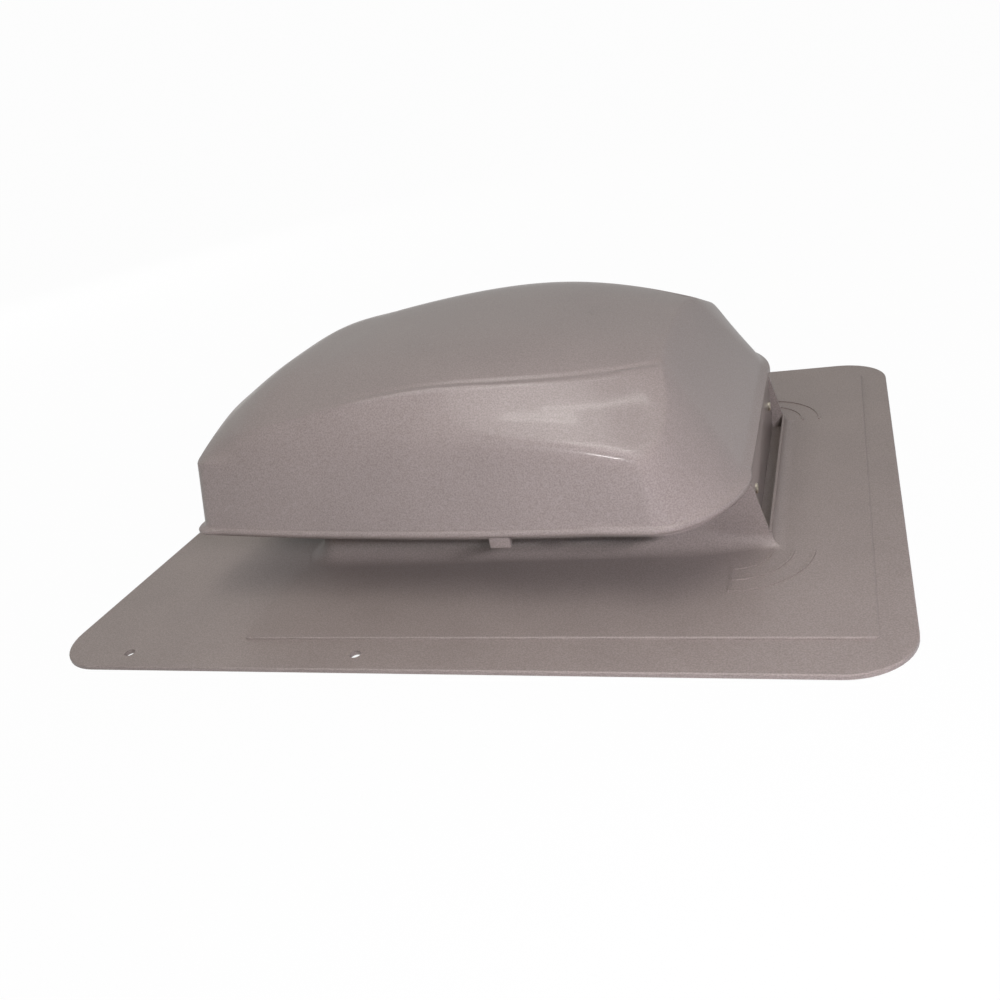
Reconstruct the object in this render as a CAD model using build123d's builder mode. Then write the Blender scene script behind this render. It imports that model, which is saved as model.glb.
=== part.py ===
from build123d import *
import os

os.makedirs("parts", exist_ok=True)

# Frame: X runs up the roof slope, the open front of the hood faces -X, Z is up from the roof deck.
# The origin is the middle of the flange underside.

# Flange
flange_x = 480
flange_y = 409
flange_thickness = 2.5
flange_corner_radius = 34
flange_edge_radius = 1
plateau_front_x = -117
plateau_rear_x = 223
plateau_half_y = 177
plateau_height = 1.2
plateau_corner_radius = 3
plateau_edge_chamfer = 0.6
plateau_top = flange_thickness + plateau_height
plateau_x = (plateau_front_x + plateau_rear_x) / 2

# Nail holes along both side edges of the flange
nail_hole_radius = 3.2
nail_spacing_x = 149
nail_spacing_y = 382
nail_center_x = -113

# Diverter ribs on the flange around both rear corners of the riser
rib_center_x = 151.5
rib_center_y = 92.5
rib_radius = 43
rib_pitch = 11
rib_count = 3
rib_width = 1.4
rib_height = 0.6

# Throat riser
riser_wall = 2.4
riser_front_x = -112
riser_half_y = 86
riser_corner_radius = 14
riser_top = 62
riser_foot_fillet = 7
riser_pick_margin = 1
riser_rear_x = 160.6
riser_slope_x = 138
riser_rear_top = 40

# Cheeks and water curb behind the riser
cheek_front_x = 157
cheek_front_top = 43
cheek_top_x = 162.8
cheek_top = 42
curb_rear_x = 171.5
curb_thickness = 1.4
curb_top = 12
curb_front_x = curb_rear_x - curb_thickness

# Rear flap of the hood
hood_wall = 2.2
flap_clearance = 0.2
flap_side_clearance = 4
flap_half_y = riser_half_y - flap_side_clearance
flap_bottom_z = 6
flap_front_x = riser_rear_x + flap_clearance
flap_rear_x = flap_front_x + hood_wall

# Hood outline at the rim
rim_z = 44
rim_front_x = -168
rim_front_half_y = 121
rim_rear_half_y = 144
rim_front_corner_radius = 9
rim_side_end_x = 119
rim_rear_x = 163.4
rim_rear_margin = 1
rim_rear_half_flat = flap_half_y + rim_rear_margin
rim_corner_fullness_x = 0.664
rim_corner_fullness_y = 0.721
rim_corner_inset_x = 0.8
rim_corner_inset_y = 0.7
rim_corner_x = rim_side_end_x + rim_corner_fullness_x * (rim_rear_x - rim_side_end_x)
rim_corner_y = rim_rear_half_flat + rim_corner_fullness_y * (rim_rear_half_y - rim_rear_half_flat)

# Hood outline where the skirt and the slanted back run out above the crown
skirt_top_z = 140
skirt_top_inset = 11
skirt_top_front_setback = 15
skirt_top_side_setback = 3.5
skirt_top_rear_setback = 64.4
skirt_top_rear_narrowing = 24
skirt_top_rear_bow = 10
skirt_top_front_x = rim_front_x + skirt_top_front_setback
skirt_top_front_half_y = rim_front_half_y - skirt_top_inset
skirt_top_side_half_y = rim_rear_half_y - skirt_top_inset
skirt_top_side_x = rim_side_end_x - skirt_top_side_setback
skirt_top_rear_x = rim_rear_x - skirt_top_rear_setback
skirt_top_rear_half_y = rim_rear_half_flat - skirt_top_rear_narrowing
skirt_top_bow_x = (skirt_top_side_x + skirt_top_rear_x) / 2 - skirt_top_rear_bow

# Dome stations from front to rear, as shares of the hood's length, crown height and half width:
# x, crown z, crease y, crease z, shoulder y, shoulder z
crown_top = 129
dome_stations = (
    (-0.066, 0.682, 0.688, 0.574, 0.939, 0.512),
    (0.024, 0.810, 0.773, 0.721, 0.937, 0.651),
    (0.115, 0.930, 0.887, 0.775, 0.947, 0.674),
    (0.235, 0.977, 0.888, 0.837, 0.951, 0.682),
    (0.371, 1.000, 0.871, 0.899, 0.955, 0.698),
    (0.507, 1.000, 0.826, 0.922, 0.967, 0.705),
    (0.643, 0.977, 0.768, 0.899, 0.970, 0.705),
    (0.763, 0.915, 0.651, 0.860, 0.970, 0.682),
    (0.854, 0.860, 0.508, 0.829, 0.967, 0.643),
    (0.960, 0.791, 0.341, 0.775, 0.962, 0.574),
    (1.065, 0.713, 0.201, 0.705, 0.958, 0.481),
)
crown_fullness_y = 0.7
crown_fullness_z = 0.66
dome_floor_z = 20
dome_edge_z = 45

# Soft edges of the hood: a point near the edge's middle, in the same shares, and the fillet radius
fillet_picks = (
    ((0.462, 0.840, 0.922), 8),
    ((0.872, 0.000, 0.837), 5),
    ((0.471, 0.959, 0.721), 6),
)

# Rolled bead on the rim, with the lip inside that carries the screen
bead_reach = 2
bead_bottom_z = 42.6
bead_top_z = 46.4
lip_reach = 2
lip_cut_x = 120
lip_riser_clearance = 6
lip_cut_half_y = riser_half_y + lip_riser_clearance

# Snap tabs under the rim
tab_x = 34
tab_inset = 2.4
tab_length = 12
tab_width = 3
tab_bottom_z = 40.4

# Screws through the rear flap
screw_half_y = 63
screw_z = 27
screw_hole_radius = 2.3
screw_shank_radius = 1.9
screw_head_radius = 3
screw_head_height = 1.2
screw_head_chamfer = 0.4
screw_length = 11
screw_recess_length = 3.6
screw_recess_width = 0.8
screw_recess_depth = 0.6
boss_radius = 5
boss_length = 9
boss_bore_radius = 2.1

# Screen between riser and hood
screen_thickness = 2.4
screen_riser_clearance = 0.5
screen_hood_clearance = 1.2
screen_rear_x = 125
screen_inner_web = 7
screen_outer_web = 4
screen_slot_width = 4
screen_slot_pitch = 7
screen_side_x = 3
screen_side_slots = 27
screen_front_slots = 27
screen_front_inner_x = riser_front_x - screen_riser_clearance - screen_inner_web
screen_front_outer_x = rim_front_x + hood_wall + screen_hood_clearance + screen_outer_web
ledge_reach = 5
ledge_thickness = 2
ledge_rear_x = 112


def abs_y(point):
    return Vector(point.X, abs(point.Y), point.Z)


def rim_half_width(x):
    run = (x - rim_front_x) / (rim_side_end_x - rim_front_x)
    return rim_front_half_y + run * (rim_rear_half_y - rim_front_half_y)


def dome_point(x_share, y_share, z_share):
    x = rim_front_x + x_share * (rim_rear_x - rim_front_x)
    return Vector(x, y_share * rim_half_width(x), z_share * crown_top)


def rim_outline(inset):
    with BuildSketch(mode=Mode.PRIVATE) as outline:
        with BuildLine():
            Polyline(
                (rim_side_end_x, inset - rim_rear_half_y),
                (rim_front_x + inset, inset - rim_front_half_y),
                (rim_front_x + inset, rim_front_half_y - inset),
                (rim_side_end_x, rim_rear_half_y - inset),
            )
            corner = Spline(
                (rim_side_end_x, rim_rear_half_y - inset),
                (rim_corner_x - rim_corner_inset_x * inset, rim_corner_y - rim_corner_inset_y * inset),
                (rim_rear_x - inset, rim_rear_half_flat - inset),
                tangents=((1, 0), (0.1, -1)),
            )
            mirror(corner, about=Plane.XZ)
            Line(
                (rim_rear_x - inset, rim_rear_half_flat - inset),
                (rim_rear_x - inset, inset - rim_rear_half_flat),
            )
        make_face()
        fillet(vertices().group_by(Axis.X)[0], rim_front_corner_radius - inset)
    return outline.sketch


with BuildPart() as base_flashing:
    with BuildSketch():
        RectangleRounded(flange_x, flange_y, flange_corner_radius)
    extrude(amount=flange_thickness)
    fillet(edges().group_by(Axis.Z)[-1], flange_edge_radius)
    with BuildSketch(Plane.XY.offset(flange_thickness)):
        with Locations((plateau_x, 0)):
            RectangleRounded(plateau_rear_x - plateau_front_x, 2 * plateau_half_y, plateau_corner_radius)
    extrude(amount=plateau_height)
    chamfer(edges().group_by(Axis.Z)[-1], plateau_edge_chamfer)

    # Riser block, cut to the side profile that follows the slanted back of the hood
    with BuildPart(mode=Mode.PRIVATE) as riser:
        with BuildSketch():
            with BuildLine():
                Polyline(
                    (curb_rear_x, riser_half_y),
                    (riser_front_x, riser_half_y),
                    (riser_front_x, -riser_half_y),
                    (curb_rear_x, -riser_half_y),
                    close=True,
                )
            make_face()
            fillet(vertices().group_by(Axis.X)[0], riser_corner_radius)
        extrude(amount=riser_top)
        with BuildSketch(Plane.XZ) as profile:
            with BuildLine():
                Polyline(
                    (riser_front_x, 0),
                    (riser_front_x, riser_top),
                    (riser_slope_x, riser_top),
                    (cheek_front_x, cheek_front_top),
                    (cheek_top_x, cheek_top),
                    (curb_front_x, curb_top),
                    (curb_rear_x, curb_top),
                    (curb_rear_x, 0),
                    close=True,
                )
            make_face()
        extrude(amount=riser_half_y, both=True, mode=Mode.INTERSECT)
    add(riser.part)
    fillet(
        edges().filter_by_position(Axis.Z, plateau_top, plateau_top).filter_by_position(
            Axis.X, riser_front_x - riser_pick_margin, curb_rear_x + riser_pick_margin
        ).filter_by_position(Axis.Y, -riser_half_y - riser_pick_margin, riser_half_y + riser_pick_margin),
        riser_foot_fillet,
    )

    # Ledge around the riser for the screen
    with BuildSketch(Plane.XY.offset(bead_top_z - ledge_thickness)):
        with BuildLine():
            Polyline(
                (ledge_rear_x, riser_half_y + ledge_reach),
                (riser_front_x - ledge_reach, riser_half_y + ledge_reach),
                (riser_front_x - ledge_reach, -riser_half_y - ledge_reach),
                (ledge_rear_x, -riser_half_y - ledge_reach),
                close=True,
            )
        make_face()
        fillet(vertices().group_by(Axis.X)[0], riser_corner_radius + ledge_reach)
    extrude(amount=ledge_thickness)

    # Throat, open from the roof deck to the inside of the hood
    with BuildSketch():
        with BuildLine():
            Polyline(
                (riser_rear_x - riser_wall, riser_half_y - riser_wall),
                (riser_front_x + riser_wall, riser_half_y - riser_wall),
                (riser_front_x + riser_wall, -riser_half_y + riser_wall),
                (riser_rear_x - riser_wall, -riser_half_y + riser_wall),
                close=True,
            )
        make_face()
        fillet(vertices().group_by(Axis.X)[0], riser_corner_radius - riser_wall)
    extrude(amount=riser_top, mode=Mode.SUBTRACT)

    # Rear wall top, and the trough between it and the curb
    with Locations(((riser_rear_x + cheek_top_x) / 2, 0, (riser_rear_top + riser_top) / 2)):
        Box(
            2 * riser_wall + cheek_top_x - riser_rear_x,
            2 * (riser_half_y - riser_wall),
            riser_top - riser_rear_top,
            mode=Mode.SUBTRACT,
        )
    with Locations(((riser_rear_x + curb_front_x) / 2, 0, (plateau_top + riser_top) / 2)):
        Box(
            curb_front_x - riser_rear_x,
            2 * (riser_half_y - riser_wall),
            riser_top - plateau_top,
            mode=Mode.SUBTRACT,
        )

    # Screw bosses inside the rear wall
    with BuildSketch(Plane.YZ.offset(riser_rear_x - riser_wall)):
        with Locations((-screw_half_y, screw_z), (screw_half_y, screw_z)):
            Circle(boss_radius)
    extrude(amount=-boss_length)
    with BuildSketch(Plane.YZ.offset(riser_rear_x)):
        with Locations((-screw_half_y, screw_z), (screw_half_y, screw_z)):
            Circle(boss_bore_radius)
    extrude(amount=-(boss_length + riser_wall), mode=Mode.SUBTRACT)

    # Diverter ribs, closed off along the side of the riser
    with BuildSketch(Plane.XY.offset(plateau_top)):
        with Locations((rib_center_x, -rib_center_y)):
            for i in range(rib_count):
                Circle(rib_radius - i * rib_pitch)
                Circle(rib_radius - i * rib_pitch - rib_width, mode=Mode.SUBTRACT)
            Rectangle(rib_radius, rib_radius, align=(Align.MIN, Align.MAX), mode=Mode.INTERSECT)
        with Locations((rib_center_x, -rib_center_y - rib_radius)):
            Rectangle(rib_width, (rib_count - 1) * rib_pitch + rib_width, align=Align.MIN)
        mirror(about=Plane.XZ)
    extrude(amount=rib_height)

    # Nail holes
    with Locations((nail_center_x, 0)):
        with GridLocations(nail_spacing_x, nail_spacing_y, 2, 2):
            Hole(nail_hole_radius)

with BuildPart() as hood:
    for wall, dome_mode in ((0, Mode.ADD), (hood_wall, Mode.SUBTRACT)):
        with BuildPart(mode=dome_mode):
            with BuildSketch(Plane.XY.offset(rim_z)):
                add(rim_outline(wall))
            with BuildSketch(Plane.XY.offset(skirt_top_z)):
                with BuildLine():
                    Polyline(
                        (skirt_top_side_x - wall, wall - skirt_top_side_half_y),
                        (skirt_top_front_x + wall, wall - skirt_top_front_half_y),
                        (skirt_top_front_x + wall, skirt_top_front_half_y - wall),
                        (skirt_top_side_x - wall, skirt_top_side_half_y - wall),
                    )
                    bow = ThreePointArc(
                        (skirt_top_side_x - wall, skirt_top_side_half_y - wall),
                        (skirt_top_bow_x - wall, (skirt_top_side_half_y + skirt_top_rear_half_y) / 2 - wall),
                        (skirt_top_rear_x - wall, skirt_top_rear_half_y - wall),
                    )
                    mirror(bow, about=Plane.XZ)
                    Line(
                        (skirt_top_rear_x - wall, skirt_top_rear_half_y - wall),
                        (skirt_top_rear_x - wall, wall - skirt_top_rear_half_y),
                    )
                make_face()
                fillet(vertices().group_by(Axis.X)[0], rim_front_corner_radius - wall)
            loft(ruled=True)
            with BuildPart(mode=Mode.INTERSECT):
                for x_share, crown_share, *shares in dome_stations:
                    crown_z = dome_point(x_share, 0, crown_share).Z
                    crease = dome_point(x_share, shares[0], shares[1])
                    shoulder = dome_point(x_share, shares[2], shares[3])
                    slope = (shoulder.Z - crease.Z) / (shoulder.Y - crease.Y)
                    crease_y, crease_z = crease.Y, crease.Z
                    edge_y = shoulder.Y + (dome_edge_z - shoulder.Z) / slope
                    full_y = crown_fullness_y * crease_y
                    full_z = crease_z + crown_fullness_z * (crown_z - crease_z)
                    with BuildSketch(Plane.YZ.offset(crease.X)):
                        with BuildLine():
                            Polyline(
                                (wall - crease_y, crease_z - wall),
                                (wall - edge_y, dome_edge_z - wall),
                                (wall - edge_y, dome_floor_z),
                                (edge_y - wall, dome_floor_z),
                                (edge_y - wall, dome_edge_z - wall),
                                (crease_y - wall, crease_z - wall),
                            )
                            Spline(
                                (crease_y - wall, crease_z - wall),
                                (full_y - wall, full_z - wall),
                                (0, crown_z - wall),
                                (wall - full_y, full_z - wall),
                                (wall - crease_y, crease_z - wall),
                            )
                        make_face()
                loft()
            if dome_mode == Mode.ADD:
                for shares, radius in fillet_picks:
                    pick = dome_point(*shares)
                    near_first = edges().sort_by(lambda edge: (abs_y(edge.center()) - pick).length)
                    fillet(near_first[0 : 2 if pick.Y else 1], radius)

    # Rolled bead and inner lip
    with BuildPart():
        with BuildSketch(Plane.XY.offset(bead_bottom_z)):
            add(rim_outline(-bead_reach))
            add(rim_outline(hood_wall + lip_reach), mode=Mode.SUBTRACT)
        extrude(amount=bead_top_z - bead_bottom_z)
        with Locations((lip_cut_x, 0, bead_bottom_z)):
            Box(
                rim_rear_x - hood_wall - lip_cut_x,
                2 * lip_cut_half_y,
                bead_top_z - bead_bottom_z,
                align=(Align.MIN, Align.CENTER, Align.MIN),
                mode=Mode.SUBTRACT,
            )
        with Locations((rim_rear_x, 0, bead_bottom_z)):
            Box(
                2 * bead_reach,
                2 * rim_rear_half_y,
                bead_top_z - bead_bottom_z,
                align=(Align.MIN, Align.CENTER, Align.MIN),
                mode=Mode.SUBTRACT,
            )

    # Snap tabs under both long rims
    tab_y = rim_half_width(tab_x) - tab_inset
    with Locations((tab_x, -tab_y, tab_bottom_z), (tab_x, tab_y, tab_bottom_z)):
        Box(
            tab_length,
            tab_width,
            bead_top_z - tab_bottom_z,
            align=(Align.CENTER, Align.CENTER, Align.MIN),
        )

    # Rear flap that hangs behind the riser
    with Locations((flap_front_x, 0, flap_bottom_z)):
        Box(
            hood_wall,
            2 * flap_half_y,
            bead_top_z - flap_bottom_z,
            align=(Align.MIN, Align.CENTER, Align.MIN),
        )
    with BuildSketch(Plane.YZ.offset(flap_front_x)):
        with Locations((-screw_half_y, screw_z), (screw_half_y, screw_z)):
            Circle(screw_hole_radius)
    extrude(amount=hood_wall, mode=Mode.SUBTRACT)

with BuildPart() as insect_screen:
    with BuildSketch(Plane.XY.offset(bead_top_z)):
        add(rim_outline(hood_wall + screen_hood_clearance))
        with BuildLine():
            Polyline(
                (rim_rear_x, riser_half_y + screen_riser_clearance),
                (riser_front_x - screen_riser_clearance, riser_half_y + screen_riser_clearance),
                (riser_front_x - screen_riser_clearance, -riser_half_y - screen_riser_clearance),
                (rim_rear_x, -riser_half_y - screen_riser_clearance),
                close=True,
            )
        make_face(mode=Mode.SUBTRACT)
        with Locations((screen_rear_x, 0)):
            Rectangle(
                rim_rear_half_y,
                2 * rim_rear_half_y,
                align=(Align.MIN, Align.CENTER),
                mode=Mode.SUBTRACT,
            )
        for i in range(screen_side_slots):
            slot_x = screen_side_x + (i - (screen_side_slots - 1) / 2) * screen_slot_pitch
            slot_inner_y = riser_half_y + screen_riser_clearance + screen_inner_web
            slot_outer_y = rim_half_width(slot_x) - hood_wall - screen_hood_clearance - screen_outer_web
            slot_y = (slot_inner_y + slot_outer_y) / 2
            with Locations((slot_x, -slot_y), (slot_x, slot_y)):
                Rectangle(screen_slot_width, slot_outer_y - slot_inner_y, mode=Mode.SUBTRACT)
        with Locations(((screen_front_inner_x + screen_front_outer_x) / 2, 0)):
            with GridLocations(0, screen_slot_pitch, 1, screen_front_slots):
                Rectangle(
                    screen_front_inner_x - screen_front_outer_x,
                    screen_slot_width,
                    mode=Mode.SUBTRACT,
                )
    extrude(amount=screen_thickness)

with BuildPart() as rear_screw_near:
    with BuildSketch(Plane.YZ.offset(flap_rear_x)):
        with Locations((-screw_half_y, screw_z)):
            Circle(screw_head_radius)
    extrude(amount=screw_head_height)
    chamfer(edges().group_by(Axis.X)[-1], screw_head_chamfer)
    with BuildSketch(Plane.YZ.offset(flap_rear_x + screw_head_height)):
        with Locations((-screw_half_y, screw_z)):
            Rectangle(screw_recess_length, screw_recess_width)
    extrude(amount=-screw_recess_depth, mode=Mode.SUBTRACT)
    with BuildSketch(Plane.YZ.offset(flap_rear_x)):
        with Locations((-screw_half_y, screw_z)):
            Circle(screw_shank_radius)
    extrude(amount=-screw_length)

with BuildPart() as rear_screw_far:
    mirror(rear_screw_near.part, about=Plane.XZ)

base_flashing.part.label = "base_flashing"
hood.part.label = "hood"
insect_screen.part.label = "insect_screen"
rear_screw_near.part.label = "rear_screw_near"
rear_screw_far.part.label = "rear_screw_far"

export_step(base_flashing.part, "parts/base_flashing.step")
export_step(hood.part, "parts/hood.step")
export_step(insect_screen.part, "parts/insect_screen.step")
export_step(rear_screw_near.part, "parts/rear_screw_near.step")
export_step(rear_screw_far.part, "parts/rear_screw_far.step")
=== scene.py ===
import math

import bmesh
import bpy
import numpy as np
from mathutils import Matrix, Vector


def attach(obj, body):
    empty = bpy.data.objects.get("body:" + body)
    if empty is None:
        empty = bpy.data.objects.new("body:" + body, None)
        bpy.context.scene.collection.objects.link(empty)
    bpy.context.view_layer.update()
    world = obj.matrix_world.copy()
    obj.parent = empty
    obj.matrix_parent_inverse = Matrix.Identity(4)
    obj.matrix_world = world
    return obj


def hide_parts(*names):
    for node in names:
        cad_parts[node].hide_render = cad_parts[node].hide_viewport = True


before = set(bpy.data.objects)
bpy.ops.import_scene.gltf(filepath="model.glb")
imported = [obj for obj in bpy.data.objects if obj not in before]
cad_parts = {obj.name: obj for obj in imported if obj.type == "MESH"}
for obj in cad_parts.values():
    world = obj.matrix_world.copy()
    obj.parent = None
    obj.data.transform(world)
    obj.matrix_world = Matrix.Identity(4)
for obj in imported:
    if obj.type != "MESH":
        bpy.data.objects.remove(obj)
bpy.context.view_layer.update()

MM = 0.001

# Hood outline at the rim, in millimetres
RIM_Z = 44.0
RIM_FRONT_X = -168.0
RIM_FRONT_HALF_Y = 121.0
RIM_REAR_HALF_Y = 144.0
RIM_SIDE_END_X = 119.0
RIM_REAR_X = 163.4
RIM_REAR_FLAT = 83.0
CORNER_RADIUS = 9.0
CORNER_POWER = 1.9

# Where the skirt's rulings run out above the crown
TOP_Z = 140.0
TOP_FRONT_X = -153.0
TOP_FRONT_HALF_Y = 110.0
TOP_SIDE_X = 115.5
TOP_SIDE_HALF_Y = 133.0
TOP_REAR_X = 99.0
TOP_REAR_HALF_Y = 59.0
TOP_REAR_BOW = 7.0

# Dome stations from front to rear: x, crown z, crease y, crease z, shoulder y, shoulder z
STATIONS = np.array([
    (-190, 88, 82, 76, 112, 70),
    (-160, 104.5, 94, 94, 114, 88),
    (-130, 120, 110, 100, 117.5, 87),
    (-90, 126, 113, 108, 121, 88),
    (-45, 128.9, 114, 116, 125, 90),
    (0, 128.9, 111, 119, 130, 91),
    (45, 126, 106, 116, 134, 91),
    (85, 118, 92, 111, 137, 88),
    (115, 111, 73, 107, 139, 83),
    (150, 102, 50, 100, 141, 74),
    (185, 92, 30, 91, 143, 62),
], float)
CROWN_POWER = 3.0

# The crease is softer at the front and tightens towards the rear
CREASE_SOFTNESS_FRONT = 3.0
CREASE_SOFTNESS_REAR = 1.3
CREASE_TIGHTEN_X = -100.0
CREASE_TIGHTEN_REACH = 150.0

# Moulded groove behind the crease, rising from the front and ending at the slanted back
GROOVE_DEPTH = 0.85
GROOVE_WIDTH = 1.9
GROOVE_INSET = 4.2
GROOVE_START_X = -80.0
GROOVE_START_FADE = 120.0
GROOVE_END_X = 140.0
GROOVE_END_FADE = 14.0

# Mesh density of the hood
FRONT_STEPS = 32
CORNER_STEPS = 8
SIDE_STEPS = 92
REAR_CORNER_STEPS = 36
REAR_STEPS = 26
SKIRT_ROWS = 24
EDGE_ROWS = 100
EDGE_SHARE = 0.55
CROWN_ROWS = 24
INNER_ROW_STEP = 4
HALVINGS = 40

# Softness of the shoulder, which sharpens towards the front corners
SHOULDER_PASSES = 36
SHOULDER_WINDOW = 14.0
SHOULDER_POWER = 0.5
FRONT_CORNER_END_X = -120.0
FRONT_CORNER_FADE = 40.0

HOOD_WALL = 2.2
SPINE_FRONT_X = -70.0
SPINE_REAR_X = 70.0

# The rolled bead starts at this row of the skirt and reaches further out along the front
BEAD_TOP_ROW = 2
FRONT_BEAD_GAIN = 1.1
FRONT_BEAD_END_X = -150.0
FRONT_BEAD_FADE = 16.0

# It thins out around the rear corners and ends at the flat rear
REAR_BEAD_START_X = 125.0
REAR_BEAD_FADE = 25.0
REAR_BEAD_LEAST = 0.45
REAR_FLAT_FADE = 6.0

# The side rims sag a little in the middle
RIM_SAG = 2.3
RIM_SAG_X = -35.0
RIM_SAG_REACH = 125.0

# Rolled bead on the rim, with a shadow lip set back below it: reach outward, height above the deck
BEAD_PROFILE = (
    (0.0, 46.9), (0.7, 46.7), (1.5, 46.3), (2.0, 45.4), (2.0, 44.2), (1.5, 43.2), (0.7, 42.7), (-0.6, 42.6),
    (-2.8, 42.55), (-3.0, 42.5), (-3.05, 42.4), (-3.3, 42.4), (-4.0, 42.4), (-4.2, 43.4), (-4.2, 45.9),
    (-3.8, 46.4), (-2.2, 46.5),
)
INNER_LIP_REACH = 2.0
LIP_ROWS = (10, 11, 12)
LIP_DEPTH = 2.4
LIP_END_HALF_Y = 95.0
LIP_FADE = 15.0

# Rear flap and the snap tabs below the side rims
FLAP_LOW = (160.8, -82.0, 6.0)
FLAP_HIGH = (163.0, 82.0, 46.0)
FLAP_ROUND = 0.5
TAB_X = 34.0
TAB_Y = 134.8
TAB_LENGTH = 12.0
TAB_WIDTH = 3.0
TAB_BOTTOM_Z = 34.0
TAB_TOP_Z = 45.0
TAB_ROUND = 0.4

# Flare at the foot of the throat riser
RISER_FRONT_X = -112.0
RISER_HALF_Y = 86.0
RISER_CORNER = 14.0
RISER_CORNER_STEPS = 10
FIELD_Z = 3.7
FLARE_RADIUS = 12.0
FLARE_END_RADIUS = 7.1
FLARE_END_X = 156.0
FLARE_FADE = 22.0
FLARE_FADE_STEPS = 12
FLARE_SINK = 0.3
FLARE_STEPS = 12

# Clean-up distances and shading angles of the meshes
MERGE_DISTANCE = 0.02
LEAST_EDGE = 0.01
LEAST_LENGTH = 1e-9
SMOOTH_ANGLE = 40.0
HOOD_SMOOTH_ANGLE = 50.0


def smooth_curve(xs, ys, x):
    """Cubic through the points with finite-difference slopes."""
    slopes = np.gradient(ys, xs)
    i = np.clip(np.searchsorted(xs, x) - 1, 0, len(xs) - 2)
    h = xs[i + 1] - xs[i]
    t = (x - xs[i]) / h
    h00 = 2 * t**3 - 3 * t**2 + 1
    h10 = t**3 - 2 * t**2 + t
    return h00 * ys[i] + h10 * h * slopes[i] + (1 - h00) * ys[i + 1] + (t**3 - t**2) * h * slopes[i + 1]


def soft_min(a, b, k):
    """The lower of two heights, with the corner between them rounded over k."""
    h = np.clip(0.5 + 0.5 * (b - a) / k, 0, 1)
    return b + (a - b) * h - k * h * (1 - h)


def fade_in(distance, reach):
    """Zero at no distance, rising to one over the reach."""
    return np.clip(distance / reach, 0, 1)


def dome_z(x, y):
    """Height of the dome above the deck, with the moulded groove behind the crease."""
    x = np.clip(x, STATIONS[0, 0], STATIONS[-1, 0])
    curves = [smooth_curve(STATIONS[:, 0], STATIONS[:, i], x) for i in range(1, 6)]
    crown, crease_y, crease_z, edge_y, edge_z = curves
    a = np.abs(y)
    crown_part = crown - (crown - crease_z) * (a / crease_y) ** CROWN_POWER
    side_part = crease_z + (edge_z - crease_z) / (edge_y - crease_y) * (a - crease_y)
    rear = fade_in(x - CREASE_TIGHTEN_X, CREASE_TIGHTEN_REACH)
    softness = CREASE_SOFTNESS_FRONT + (CREASE_SOFTNESS_REAR - CREASE_SOFTNESS_FRONT) * rear
    z = soft_min(crown_part, side_part, softness)
    fade = fade_in(x - GROOVE_START_X, GROOVE_START_FADE) * fade_in(GROOVE_END_X - x, GROOVE_END_FADE)
    return z - GROOVE_DEPTH * fade * np.exp(-(((a - crease_y + GROOVE_INSET) / GROOVE_WIDTH) ** 2))


def outline_half():
    """Pairs of points, on the rim and above the crown, along the near half from front to rear middle."""
    low, high = [], []

    def straight(a0, a1, b0, b1, n):
        for t in np.linspace(0, 1, n, endpoint=False):
            low.append(np.array(a0) * (1 - t) + np.array(a1) * t)
            high.append(np.array(b0) * (1 - t) + np.array(b1) * t)

    r = CORNER_RADIUS
    straight((RIM_FRONT_X, 0), (RIM_FRONT_X, r - RIM_FRONT_HALF_Y),
             (TOP_FRONT_X, 0), (TOP_FRONT_X, r - TOP_FRONT_HALF_Y), FRONT_STEPS)
    for t in np.linspace(0, 1, CORNER_STEPS, endpoint=False):
        a = math.pi * (1 + 0.5 * t)
        spot = np.array((math.cos(a), math.sin(a))) * r
        low.append(np.array((RIM_FRONT_X + r, r - RIM_FRONT_HALF_Y)) + spot)
        high.append(np.array((TOP_FRONT_X + r, r - TOP_FRONT_HALF_Y)) + spot)
    straight((RIM_FRONT_X + r, -RIM_FRONT_HALF_Y), (RIM_SIDE_END_X, -RIM_REAR_HALF_Y),
             (TOP_FRONT_X + r, -TOP_FRONT_HALF_Y), (TOP_SIDE_X, -TOP_SIDE_HALF_Y), SIDE_STEPS)
    reach_x = RIM_REAR_X - RIM_SIDE_END_X
    reach_y = RIM_REAR_HALF_Y - RIM_REAR_FLAT
    for t in np.linspace(0, 1, REAR_CORNER_STEPS, endpoint=False):
        a = t * math.pi / 2
        low.append(np.array((RIM_SIDE_END_X + reach_x * math.sin(a) ** (2 / CORNER_POWER),
                             -RIM_REAR_FLAT - reach_y * math.cos(a) ** (2 / CORNER_POWER))))
        share = (1 - math.cos(a) + t) / 2
        bow = np.array((TOP_REAR_BOW * math.sin(math.pi * share), 0))
        high.append(np.array((TOP_SIDE_X, -TOP_SIDE_HALF_Y)) * (1 - share)
                    + np.array((TOP_REAR_X, -TOP_REAR_HALF_Y)) * share - bow)
    straight((RIM_REAR_X, -RIM_REAR_FLAT), (RIM_REAR_X, 0),
             (TOP_REAR_X, -TOP_REAR_HALF_Y), (TOP_REAR_X, 0), REAR_STEPS)
    low.append(np.array((RIM_REAR_X, 0.0)))
    high.append(np.array((TOP_REAR_X, 0.0)))
    return np.array(low), np.array(high)


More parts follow.
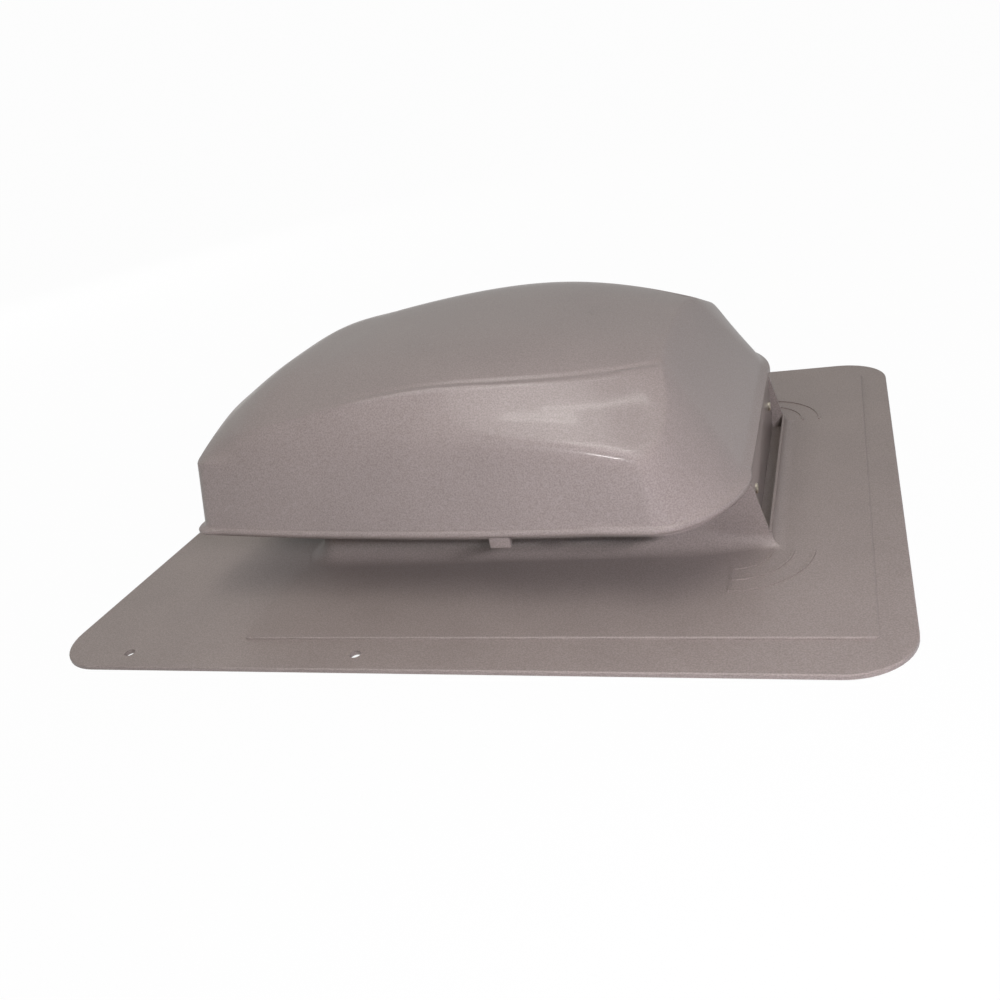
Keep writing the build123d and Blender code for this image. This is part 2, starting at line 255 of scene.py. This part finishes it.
def hood_surface():
    """Outer surface of the hood as rows of points, from the rim to the spine of the crown."""
    low, high = outline_half()
    mirror = np.array((1, -1))
    low = np.vstack((low, (low * mirror)[-2:0:-1]))
    high = np.vstack((high, (high * mirror)[-2:0:-1]))
    start = np.zeros(len(low))
    stop = np.ones(len(low))
    for _ in range(HALVINGS):
        mid = (start + stop) / 2
        spot = low + (high - low) * mid[:, None]
        below = RIM_Z + (TOP_Z - RIM_Z) * mid < dome_z(spot[:, 0], spot[:, 1])
        start = np.where(below, mid, start)
        stop = np.where(below, stop, mid)
    share = (start + stop) / 2
    edge = low + (high - low) * share[:, None]
    edge_z = RIM_Z + (TOP_Z - RIM_Z) * share
    rows = []
    for t in np.linspace(0, 1, SKIRT_ROWS, endpoint=False):
        rows.append(np.column_stack((low + (edge - low) * t, RIM_Z + (edge_z - RIM_Z) * t)))
    spread = (edge[:, 0] - edge[:, 0].min()) / np.ptp(edge[:, 0])
    spine = np.column_stack((SPINE_FRONT_X + (SPINE_REAR_X - SPINE_FRONT_X) * spread, np.zeros(len(edge))))
    near_edge = np.linspace(0, EDGE_SHARE, EDGE_ROWS, endpoint=False)
    near_spine = np.linspace(EDGE_SHARE, 1, CROWN_ROWS)
    for t in np.concatenate((near_edge, near_spine)):
        spot = edge + (spine - edge) * t
        rows.append(np.column_stack((spot, dome_z(spot[:, 0], spot[:, 1]))))
    grid = np.array(rows)
    distance = np.abs(np.arange(len(grid)) - SKIRT_ROWS)
    weight = np.clip(1 - distance / SHOULDER_WINDOW, 0, 1)[:, None] ** SHOULDER_POWER
    weight = (weight * (1 - fade_in(FRONT_CORNER_END_X - low[:, 0], FRONT_CORNER_FADE)))[:, :, None]
    for _ in range(SHOULDER_PASSES):
        blurred = grid.copy()
        blurred[1:-1] = (grid[:-2] + 2 * grid[1:-1] + grid[2:]) / 4
        grid = grid + (blurred - grid) * weight
    return grid


def grid_normals(grid):
    """Outward normals: from the grid itself near the skirt, and from the dome's slopes near the crown."""
    along = np.roll(grid, -1, axis=1) - np.roll(grid, 1, axis=1)
    up = np.gradient(grid, axis=0)
    normal = np.cross(along, up)
    normal /= np.maximum(np.linalg.norm(normal, axis=2, keepdims=True), LEAST_LENGTH)
    x, y = grid[:, :, 0], grid[:, :, 1]
    slope_x = (dome_z(x + 1, y) - dome_z(x - 1, y)) / 2
    slope_y = (dome_z(x, y + 1) - dome_z(x, y - 1)) / 2
    crown = np.stack((-slope_x, -slope_y, np.ones_like(x)), axis=2)
    crown /= np.linalg.norm(crown, axis=2, keepdims=True)
    on_crown = np.arange(len(grid)) > SKIRT_ROWS + EDGE_ROWS // 2
    return np.where(on_crown[:, None, None], crown, normal)


def mesh_object(name, verts, faces, smooth_angle=SMOOTH_ANGLE):
    """A smooth shaded piece from points in millimetres, with edges sharper than the angle kept sharp."""
    mesh = bpy.data.meshes.new(name)
    mesh.from_pydata([tuple(np.array(v) * MM) for v in verts], [], faces)
    mesh.validate()
    piece = bpy.data.objects.new(name, mesh)
    bpy.context.scene.collection.objects.link(piece)
    work = bmesh.new()
    work.from_mesh(mesh)
    bmesh.ops.remove_doubles(work, verts=work.verts, dist=MERGE_DISTANCE * MM)
    bmesh.ops.dissolve_degenerate(work, dist=LEAST_EDGE * MM, edges=work.edges)
    bmesh.ops.recalc_face_normals(work, faces=work.faces)
    for face in work.faces:
        face.smooth = True
    for edge in work.edges:
        edge.smooth = len(edge.link_faces) == 2 and edge.calc_face_angle(0) < math.radians(smooth_angle)
    work.to_mesh(mesh)
    work.free()
    return piece


def ring_faces(rings, count):
    """Quads between neighbouring closed rings of points, with the same count of points in each ring."""
    faces = []
    for r in range(rings - 1):
        for c in range(count):
            d = (c + 1) % count
            faces.append((r * count + c, r * count + d, (r + 1) * count + d, (r + 1) * count + c))
    return faces


def rounded_box(name, low, high, radius, segments=3):
    """A box between two corners, in millimetres, with rounded edges."""
    work = bmesh.new()
    bmesh.ops.create_cube(work, size=1)
    for v in work.verts:
        v.co = Vector([(low[i] + high[i]) / 2 + v.co[i] * (high[i] - low[i]) for i in range(3)]) * MM
    edges = work.edges[:]
    bmesh.ops.bevel(work, geom=edges, offset=radius * MM, segments=segments, profile=0.5, affect="EDGES")
    mesh = bpy.data.meshes.new(name)
    work.to_mesh(mesh)
    work.free()
    mesh.polygons.foreach_set("use_smooth", [True] * len(mesh.polygons))
    piece = bpy.data.objects.new(name, mesh)
    bpy.context.scene.collection.objects.link(piece)
    return piece


def join(name, pieces):
    with bpy.context.temp_override(active_object=pieces[0], selected_editable_objects=pieces):
        bpy.ops.object.join()
    pieces[0].name = name
    return pieces[0]


def bead_rings(rim, out):
    """Rings of the rolled bead, the shadow lip and the inner lip, from the skirt to the inner wall."""
    x, half_y = rim[:, 0], np.abs(rim[:, 1])
    rear = x > RIM_SIDE_END_X
    flat = fade_in(RIM_REAR_FLAT + REAR_FLAT_FADE / 2 - half_y, REAR_FLAT_FADE) * rear
    reach = (1 - flat) * (1 + FRONT_BEAD_GAIN * fade_in(FRONT_BEAD_END_X - x, FRONT_BEAD_FADE))
    reach *= np.clip(1 - (x - REAR_BEAD_START_X) / REAR_BEAD_FADE, REAR_BEAD_LEAST, 1)
    sag = RIM_SAG * np.clip(1 - ((x - RIM_SAG_X) / RIM_SAG_REACH) ** 2, 0, 1)
    lip = LIP_DEPTH * np.where(rear, fade_in(half_y - LIP_END_HALF_Y, LIP_FADE), 1)
    rings = []
    for number, (offset, z) in enumerate(BEAD_PROFILE):
        if offset > 0:
            grow = offset * reach
        elif offset >= -HOOD_WALL:
            grow = np.full(len(rim), offset)
        else:
            grow = np.maximum(offset, -HOOD_WALL - INNER_LIP_REACH * reach)
        ring = rim.copy()
        ring[:, :2] += out[:, :2] * grow[:, None]
        ring[:, 2] = z - sag - lip * (number in LIP_ROWS)
        rings.append(ring)
    return rings


def build_hood():
    """Thin shell of the dome with its bead, the rear flap and the two snap tabs."""
    outer = hood_surface()
    normals = grid_normals(outer)
    if normals[SKIRT_ROWS // 2, 0, 0] > 0:
        normals = -normals
    inner = outer - normals * HOOD_WALL
    out = normals[BEAD_TOP_ROW].copy()
    out[:, 2] = 0
    out /= np.linalg.norm(out, axis=1, keepdims=True)
    rings = [outer[row] for row in range(len(outer) - 1, BEAD_TOP_ROW - 1, -1)]
    rings += bead_rings(outer[0], out)
    rings += [inner[row] for row in range(BEAD_TOP_ROW, len(inner) - 1, INNER_ROW_STEP)]
    rings.append(inner[-1])
    verts = np.array(rings).reshape(-1, 3)
    shell = mesh_object("hood_dome", verts, ring_faces(len(rings), outer.shape[1]), HOOD_SMOOTH_ANGLE)
    pieces = [shell, rounded_box("hood_flap", FLAP_LOW, FLAP_HIGH, FLAP_ROUND)]
    for side in (-1, 1):
        low = (TAB_X - TAB_LENGTH / 2, side * TAB_Y - TAB_WIDTH / 2, TAB_BOTTOM_Z)
        high = (TAB_X + TAB_LENGTH / 2, side * TAB_Y + TAB_WIDTH / 2, TAB_TOP_Z)
        pieces.append(rounded_box("hood_tab", low, high, TAB_ROUND))
    return join("hood_shell", pieces)


def build_flare():
    """Concave flare around the front and both sides of the riser, dying out towards the rear corners."""
    fade_xs = np.linspace(FLARE_END_X, FLARE_END_X - FLARE_FADE, FLARE_FADE_STEPS)
    half = [((x, -RISER_HALF_Y), (0, -1)) for x in (*fade_xs, 0)]
    for angle in np.linspace(math.pi * 1.5, math.pi, RISER_CORNER_STEPS):
        wx, wy = math.cos(angle), math.sin(angle)
        spot = (RISER_FRONT_X + RISER_CORNER * (1 + wx), RISER_CORNER * (1 + wy) - RISER_HALF_Y)
        half.append((spot, (wx, wy)))
    path = half + [((x, -y), (wx, -wy)) for (x, y), (wx, wy) in reversed(half)]
    bottom = FIELD_Z - FLARE_SINK
    grid = []
    for (x, y), (wx, wy) in path:
        share = fade_in(FLARE_END_X - x, FLARE_FADE)
        radius = FLARE_END_RADIUS + (FLARE_RADIUS - FLARE_END_RADIUS) * share
        section = [(radius * (1 - math.cos(a)), FIELD_Z + radius * (1 - math.sin(a)))
                   for a in np.linspace(0, math.pi / 2, FLARE_STEPS)]
        section += [(radius, bottom), (-FLARE_SINK, bottom), (-FLARE_SINK, FIELD_Z + radius)]
        grid.append([(x + wx * reach, y + wy * reach, z) for reach, z in section])
    count = len(grid[0])
    verts = [spot for section in grid for spot in section]
    ends = [tuple(range(count)), tuple(range(len(verts) - count, len(verts)))]
    return mesh_object("riser_flare", verts, ends + ring_faces(len(grid), count))


# Tones of the plastic's speckle from dark to light, and of the worn zinc
HOOD_TONES = ((0.225, 0.187, 0.17), (0.265, 0.222, 0.204), (0.305, 0.26, 0.24))
BASE_TONES = ((0.21, 0.175, 0.157), (0.25, 0.21, 0.19), (0.29, 0.248, 0.226))
GRILLE_TONES = ((0.06, 0.052, 0.047), (0.08, 0.07, 0.064), (0.1, 0.09, 0.082))
ZINC_TONES = ((0.62, 0.55, 0.42), (0.9, 0.86, 0.76))
ZINC_ROUGHNESS = 0.3

# Noise of the surfaces: scale in cycles per metre, and detail
SPECK_NOISE = (1300, 3)
MOTTLE_NOISE = (28, 4)
PEBBLE_NOISE = (900, 2)
ZINC_NOISE = (1500, 2)
SPECK_STOPS = (0.36, 0.5, 0.64)
MOTTLE_STOPS = (0.3, 0.7)
MOTTLE_SHADES = ((0.86, 0.86, 0.86), (1, 1, 1))
MOTTLE_SHARE = 0.5
ROUGHNESS_BELOW = 0.05
ROUGHNESS_ABOVE = 0.07
PEBBLE_HEIGHT = 0.0002
COAT_ROUGHNESS = 0.08


def new_material(name):
    material = bpy.data.materials.new(name)
    material.use_nodes = True
    nodes, links = material.node_tree.nodes, material.node_tree.links
    return material, nodes, links, nodes["Principled BSDF"]


def noise(nodes, links, where, settings):
    """Fractal noise over the piece's own coordinates."""
    texture = nodes.new("ShaderNodeTexNoise")
    texture.inputs["Scale"].default_value, texture.inputs["Detail"].default_value = settings
    links.new(where.outputs["Object"], texture.inputs["Vector"])
    return texture.outputs["Fac"]


def shades(nodes, links, source, stops, colors):
    """Colour ramp over a source, with a colour at each stop."""
    ramp = nodes.new("ShaderNodeValToRGB")
    elements = ramp.color_ramp.elements
    while len(elements) < len(stops):
        elements.new(0.5)
    for element, stop, color in zip(elements, stops, colors):
        element.position = stop
        element.color = (*color, 1)
    links.new(source, ramp.inputs["Fac"])
    return ramp.outputs["Color"]


def plastic(name, tones, roughness, bump, coat=0.0):
    """Moulded plastic: fine speckle, soft mottling and a faint pebbled skin."""
    material, nodes, links, shader = new_material(name)
    where = nodes.new("ShaderNodeTexCoord")
    speck = noise(nodes, links, where, SPECK_NOISE)
    mottle = noise(nodes, links, where, MOTTLE_NOISE)
    tint = nodes.new("ShaderNodeMix")
    tint.data_type = "RGBA"
    tint.blend_type = "MULTIPLY"
    tint.inputs["Factor"].default_value = MOTTLE_SHARE
    links.new(shades(nodes, links, speck, SPECK_STOPS, tones), tint.inputs["A"])
    links.new(shades(nodes, links, mottle, MOTTLE_STOPS, MOTTLE_SHADES), tint.inputs["B"])
    links.new(tint.outputs["Result"], shader.inputs["Base Color"])
    rough = nodes.new("ShaderNodeMapRange")
    rough.inputs["To Min"].default_value = roughness - ROUGHNESS_BELOW
    rough.inputs["To Max"].default_value = roughness + ROUGHNESS_ABOVE
    links.new(mottle, rough.inputs["Value"])
    links.new(rough.outputs["Result"], shader.inputs["Roughness"])
    skin = nodes.new("ShaderNodeBump")
    skin.inputs["Strength"].default_value = bump
    skin.inputs["Distance"].default_value = PEBBLE_HEIGHT
    links.new(noise(nodes, links, where, PEBBLE_NOISE), skin.inputs["Height"])
    links.new(skin.outputs["Normal"], shader.inputs["Normal"])
    shader.inputs["Coat Weight"].default_value = coat
    shader.inputs["Coat Roughness"].default_value = COAT_ROUGHNESS
    return material


def zinc(name):
    """Slightly worn zinc plating."""
    material, nodes, links, shader = new_material(name)
    wear = noise(nodes, links, nodes.new("ShaderNodeTexCoord"), ZINC_NOISE)
    links.new(shades(nodes, links, wear, (0, 1), ZINC_TONES), shader.inputs["Base Color"])
    shader.inputs["Metallic"].default_value = 1
    shader.inputs["Roughness"].default_value = ZINC_ROUGHNESS
    return material


def paint(node, material):
    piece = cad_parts[node]
    if not piece.material_slots:
        piece.data.materials.append(material)
    for place in piece.material_slots:
        place.material = material


hood_plastic = plastic("hood_plastic", HOOD_TONES, roughness=0.32, bump=0.2, coat=0.3)
base_plastic = plastic("base_plastic", BASE_TONES, roughness=0.38, bump=0.2, coat=0.1)
grille_plastic = plastic("grille_plastic", GRILLE_TONES, roughness=0.5, bump=0.3)
screw_zinc = zinc("screw_zinc")

hood_shell = build_hood()
hood_shell.data.materials.clear()
hood_shell.data.materials.append(hood_plastic)
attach(hood_shell, "root")
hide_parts("hood")

riser_flare = build_flare()
riser_flare.data.materials.append(base_plastic)
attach(riser_flare, "root")

paint("base_flashing", base_plastic)
paint("insect_screen", grille_plastic)
paint("rear_screw_near", screw_zinc)
paint("rear_screw_far", screw_zinc)

# White floor and background; the plastic mirrors only a share of them
FLOOR_SIZE = 80.0
FLOOR_Z = -0.0003
FLOOR_COLOR = (0.6, 0.6, 0.6, 1)
FLOOR_ROUGHNESS = 0.9
FLOOR_GLOW_SHARE = 0.97
GLOSSY_SHARE = 0.3
WORLD_TINT = (1, 0.985, 0.98, 1)
WORLD_STRENGTH = 0.17
WORLD_WHITE = (0.98, 0.98, 0.98, 1)


def scaled(nodes, links, source, factor):
    """A value times a fixed factor."""
    node = nodes.new("ShaderNodeMath")
    node.operation = "MULTIPLY"
    node.inputs[1].default_value = factor
    links.new(source, node.inputs[0])
    return node.outputs["Value"]


def larger(nodes, links, first, second):
    """The larger of two values."""
    node = nodes.new("ShaderNodeMath")
    node.operation = "MAXIMUM"
    links.new(first, node.inputs[0])
    links.new(second, node.inputs[1])
    return node.outputs["Value"]


def seen_rays(nodes, links):
    """One for camera and transmission rays, which show the background, and a share of it for glossy rays."""
    path = nodes.new("ShaderNodeLightPath")
    glossy = scaled(nodes, links, path.outputs["Is Glossy Ray"], GLOSSY_SHARE)
    either = larger(nodes, links, path.outputs["Is Camera Ray"], glossy)
    return larger(nodes, links, either, path.outputs["Is Transmission Ray"])


def blend(nodes, links, factor, first, second, output):
    """Mix of two shaders on the output node."""
    mix = nodes.new("ShaderNodeMixShader")
    links.new(factor, mix.inputs["Fac"])
    links.new(first, mix.inputs[1])
    links.new(second, mix.inputs[2])
    links.new(mix.outputs["Shader"], nodes[output].inputs["Surface"])


bpy.ops.mesh.primitive_plane_add(size=FLOOR_SIZE, location=(0, 0, FLOOR_Z))
floor = bpy.context.object
floor.name = "floor"
floor_paint, nodes, links, shader = new_material("floor_paint")
shader.inputs["Base Color"].default_value = FLOOR_COLOR
shader.inputs["Roughness"].default_value = FLOOR_ROUGHNESS
glow = nodes.new("ShaderNodeEmission")
glow_share = scaled(nodes, links, seen_rays(nodes, links), FLOOR_GLOW_SHARE)
blend(nodes, links, glow_share, shader.outputs["BSDF"], glow.outputs["Emission"], "Material Output")
floor.data.materials.append(floor_paint)

world = bpy.data.worlds.new("studio")
bpy.context.scene.world = world
world.use_nodes = True
nodes, links = world.node_tree.nodes, world.node_tree.links
soft = nodes["Background"]
soft.inputs["Color"].default_value = WORLD_TINT
soft.inputs["Strength"].default_value = WORLD_STRENGTH
white = nodes.new("ShaderNodeBackground")
white.inputs["Color"].default_value = WORLD_WHITE
blend(nodes, links, seen_rays(nodes, links), soft.outputs["Background"], white.outputs["Background"],
      "World Output")

# Three ceiling tubes side by side, mirrored in the near panel of the dome: x, y and length in metres
TUBES = ((0.24, 0.305, 0.92), (-0.02, -0.16, 0.74), (-0.075, -0.175, 0.84))
TUBE_HEIGHT = 1.5
TUBE_WIDTH = 0.02
TUBE_ANGLE = math.radians(66)
TUBE_WATTS_PER_METRE = 0.7
TUBE_TINT = (1.0, 0.98, 0.93)

# Other lamps: name, place, target, size in metres, watts, tint, and whether the plastic mirrors it
LAMPS = (
    ("window", (0.42, -0.62, 0.345), (0.05, -0.12, 0.04), (0.25, 0.04), 4.5, (0.92, 0.9, 1.0), False),
    ("front", (0.2, -2.0, 1.3), (0, 0, 0.03), (2.4, 0.4), 1.5, (1.0, 0.98, 0.98), False),
    ("fill", (-1.4, 1.2, 0.55), (0, 0, 0.05), (1.0, 0.5), 9.0, (1.0, 0.98, 0.96), False),
    ("glint", (-0.19, -1.05, 0.6), (0.08, -0.14, 0.08), (0.07, 0.03), 1.0, (1.0, 1.0, 1.0), True),
)

# Wide soft light from above
SKY_STRENGTH = 1.05
SKY_ANGLE = math.radians(60)
SKY_TINT = (1.0, 0.98, 0.96)
SKY_WAY = (0.1, 0.12, -1)


def turn_to(way):
    """Rotation of a lamp that shines along a direction."""
    return Vector(way).to_track_quat("-Z", "Y").to_euler()


def area_light(name, spot, rotation, size, watts, tint):
    lamp = bpy.data.lights.new(name, "AREA")
    lamp.shape = "RECTANGLE"
    lamp.size, lamp.size_y = size
    lamp.energy = watts
    lamp.color = tint
    holder = bpy.data.objects.new(name, lamp)
    holder.location = spot
    holder.rotation_euler = rotation
    bpy.context.scene.collection.objects.link(holder)
    return holder


for x, y, length in TUBES:
    area_light("tube", (x, y, TUBE_HEIGHT), (0, 0, TUBE_ANGLE), (length, TUBE_WIDTH),
               length * TUBE_WATTS_PER_METRE, TUBE_TINT)
for name, spot, target, size, watts, tint, mirrored in LAMPS:
    lamp = area_light(name, spot, turn_to(Vector(target) - Vector(spot)), size, watts, tint)
    lamp.visible_glossy = mirrored
sun = bpy.data.lights.new("sky", "SUN")
sun.energy = SKY_STRENGTH
sun.angle = SKY_ANGLE
sun.color = SKY_TINT
sky = bpy.data.objects.new("sky", sun)
sky.rotation_euler = turn_to(SKY_WAY)
bpy.context.scene.collection.objects.link(sky)

# Camera of the photograph: place in millimetres, turns in degrees, focal length in pixels of the frame
CAMERA_SPOT = (217.7, -572.5, 270.7)
CAMERA_YAW = 22.22
CAMERA_PITCH = 23.8
CAMERA_ROLL = -12.35
FOCAL_PIXELS = 975.9
FRAME_PIXELS = 1000
SENSOR = 36.0
CLIP_START = 0.01

yaw, pitch, roll = (math.radians(a) for a in (CAMERA_YAW, CAMERA_PITCH, CAMERA_ROLL))
turn = Matrix.Rotation(yaw, 3, "Z")
forward = turn @ Vector((0, math.cos(pitch), -math.sin(pitch)))
level = turn @ Vector((1, 0, 0))
upright = level.cross(forward)
right = level * math.cos(roll) + upright * math.sin(roll)
up = upright * math.cos(roll) - level * math.sin(roll)
lens = bpy.data.cameras.new("photo_camera")
lens.sensor_fit = "HORIZONTAL"
lens.sensor_width = SENSOR
lens.lens = SENSOR * FOCAL_PIXELS / FRAME_PIXELS
lens.clip_start = CLIP_START
camera = bpy.data.objects.new("photo_camera", lens)
camera_axes = Matrix((right, up, -forward)).transposed().to_4x4()
camera.matrix_world = Matrix.Translation(Vector(CAMERA_SPOT) * MM) @ camera_axes
bpy.context.scene.collection.objects.link(camera)
bpy.context.scene.camera = camera
bpy.context.scene.view_settings.view_transform = "Standard"
